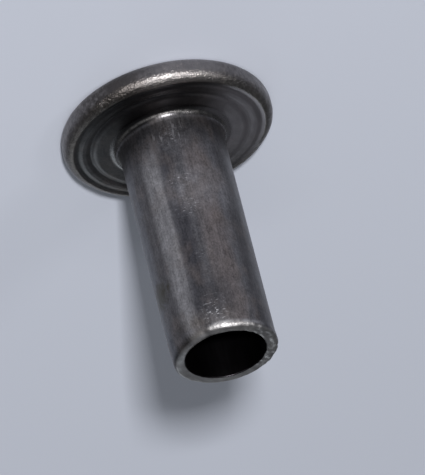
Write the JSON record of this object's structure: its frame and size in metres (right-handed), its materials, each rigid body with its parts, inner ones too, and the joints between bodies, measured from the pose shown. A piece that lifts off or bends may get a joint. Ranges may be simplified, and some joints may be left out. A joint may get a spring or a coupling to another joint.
{
  "type": "tubular rivet",
  "caption": "Dark steel tubular rivet with a flat round-rimmed head, rings under the head, a straight shank and a deep blind bore in the open end.",
  "frame": {"origin": "centre of the flat outer face of the head, on which the rivet stands", "axes": "+Z along the shank from the head to the open end; X and Y across the head, alike all round"},
  "size_m": [0.01, 0.01, 0.0133],
  "materials": {
    "dark_steel": "dark, drawn and worn"
  },
  "bodies": {
    "root": {"rivet": "dark_steel"}
  },
  "joints": []
}
